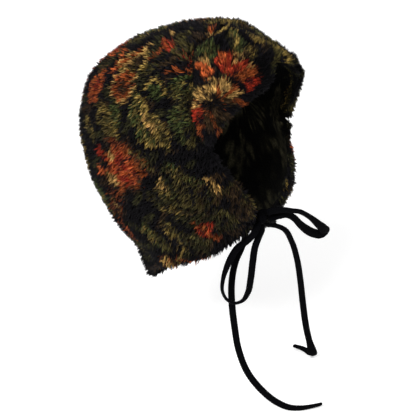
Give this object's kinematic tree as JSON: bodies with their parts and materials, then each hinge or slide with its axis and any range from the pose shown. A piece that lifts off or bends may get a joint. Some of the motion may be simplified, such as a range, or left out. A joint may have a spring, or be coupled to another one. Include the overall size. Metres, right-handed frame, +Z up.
{
  "type": "aviator hat",
  "caption": "Soft aviator hood of printed plush with a gathered peaked brim, low cheek and nape flaps, and cord ties in a bow.",
  "frame": {"origin": "inside top of the crown, where the hat sits on a head", "axes": "+Z up, -Y the way the wearer faces, +X the wearer's left"},
  "size_m": [0.181, 0.2895, 0.375],
  "materials": {
    "floral_plush": "deep pile plush, matte, dark floral print",
    "black_cord": "soft knitted cord, matte"
  },
  "bodies": {
    "root": {"hood_right": "floral_plush", "hood_left": "floral_plush", "brim_panel": "floral_plush", "bow_knot": "black_cord", "chin_tie_right": "black_cord", "chin_tie_left": "black_cord", "bow_loop_right": "black_cord", "bow_loop_left": "black_cord", "tail_right": "black_cord", "tail_left": "black_cord"}
  },
  "joints": []
}
